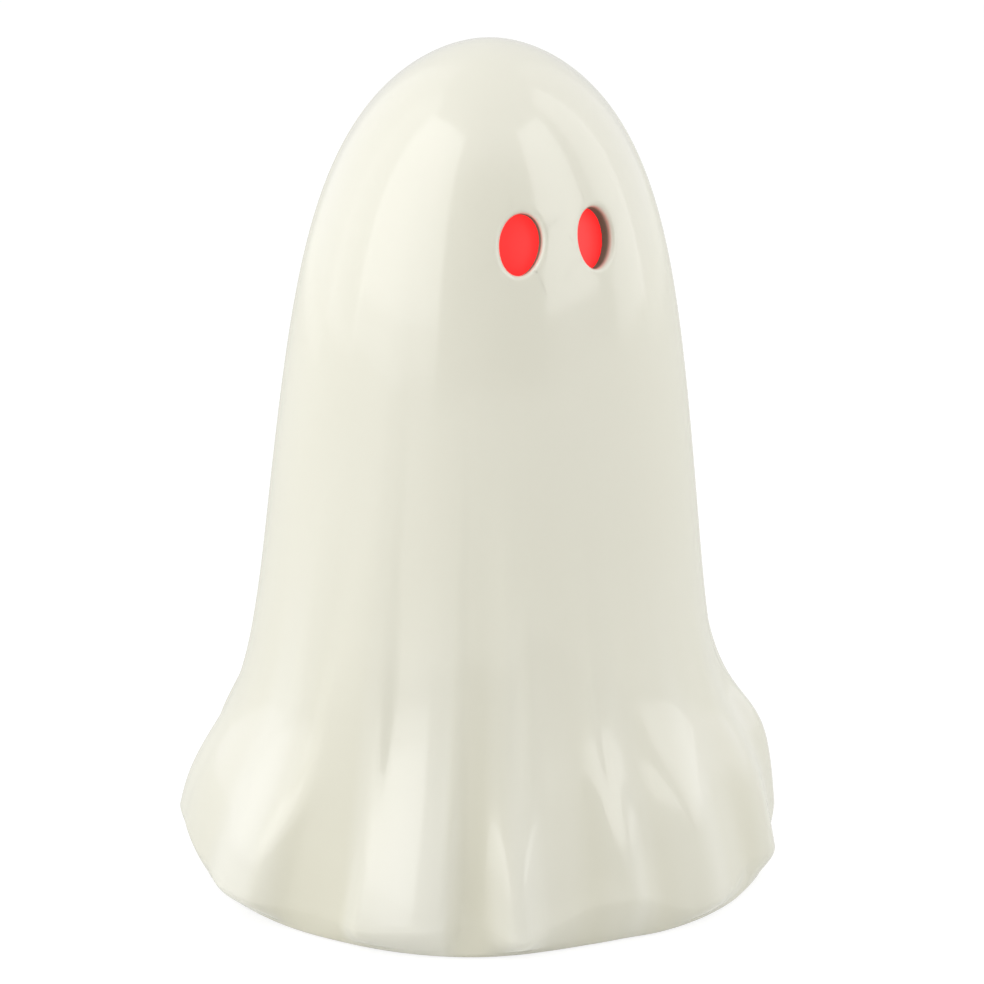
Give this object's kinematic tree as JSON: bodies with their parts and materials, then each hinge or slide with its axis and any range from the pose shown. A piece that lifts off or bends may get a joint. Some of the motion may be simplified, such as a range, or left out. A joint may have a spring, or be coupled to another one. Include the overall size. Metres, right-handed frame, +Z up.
{
  "type": "light-up ghost figure",
  "caption": "Glazed ceramic ghost figure with a draped, fluted skirt and two lit red eye holes, over a battery light module with a hinged door and a slide switch.",
  "frame": {"origin": "on the table under the middle of the foot ring", "axes": "+Z up; the face looks along -Y; +X is the figure's own left"},
  "size_m": [0.1441, 0.1433, 0.2013],
  "materials": {
    "glaze": "glossy off-white glaze",
    "red_lens": "lit, diffusing red",
    "white_plastic": "fine matt texture",
    "black_plastic": "matt",
    "soft_ring": "matt",
    "felt": "felt",
    "board": "solder resist",
    "component": "moulded",
    "resistor": "lacquered",
    "steel": "nickel plated",
    "cell_wrap": "printed film",
    "lead_sheath": "satin"
  },
  "bodies": {
    "ghost": {"ghost_shell": "glaze", "eye_lens_left": "red_lens", "eye_cup_left": "black_plastic", "eye_led_left": "red_lens", "eye_lead_left": "lead_sheath", "series_resistor_left": "resistor", "eye_lens_right": "red_lens", "eye_cup_right": "black_plastic", "eye_led_right": "red_lens", "eye_lead_right": "lead_sheath", "series_resistor_right": "resistor", "foot_pad_1": "felt", "foot_pad_2": "felt", "foot_pad_3": "felt", "foot_pad_4": "felt", "base_grommet": "soft_ring", "module_housing": "white_plastic", "module_cap": "white_plastic", "cap_screw_1": "steel", "cap_screw_2": "steel", "cap_screw_3": "steel", "circuit_board": "board", "timer_chip": "component", "aaa_cell_1": "cell_wrap", "aaa_cell_2": "cell_wrap", "aaa_cell_3": "cell_wrap", "contact_negative": "steel", "contact_bridge_right": "steel", "contact_bridge_left": "steel", "contact_positive": "steel", "switch_frame": "steel"},
    "door": {"battery_door": "white_plastic", "door_screw": "steel"},
    "knob": {"switch_knob": "black_plastic"}
  },
  "joints": [
    {"name": "door_hinge", "type": "hinge", "parent": "ghost", "child": "door", "pos_m": [0.02915, 0, 0.0024], "axis": [0, -1, 0], "range_deg": [0, 100]},
    {"name": "switch_slide", "type": "slide", "parent": "ghost", "child": "knob", "axis": [1, 0, 0], "range_m": [0, 0.003]}
  ]
}
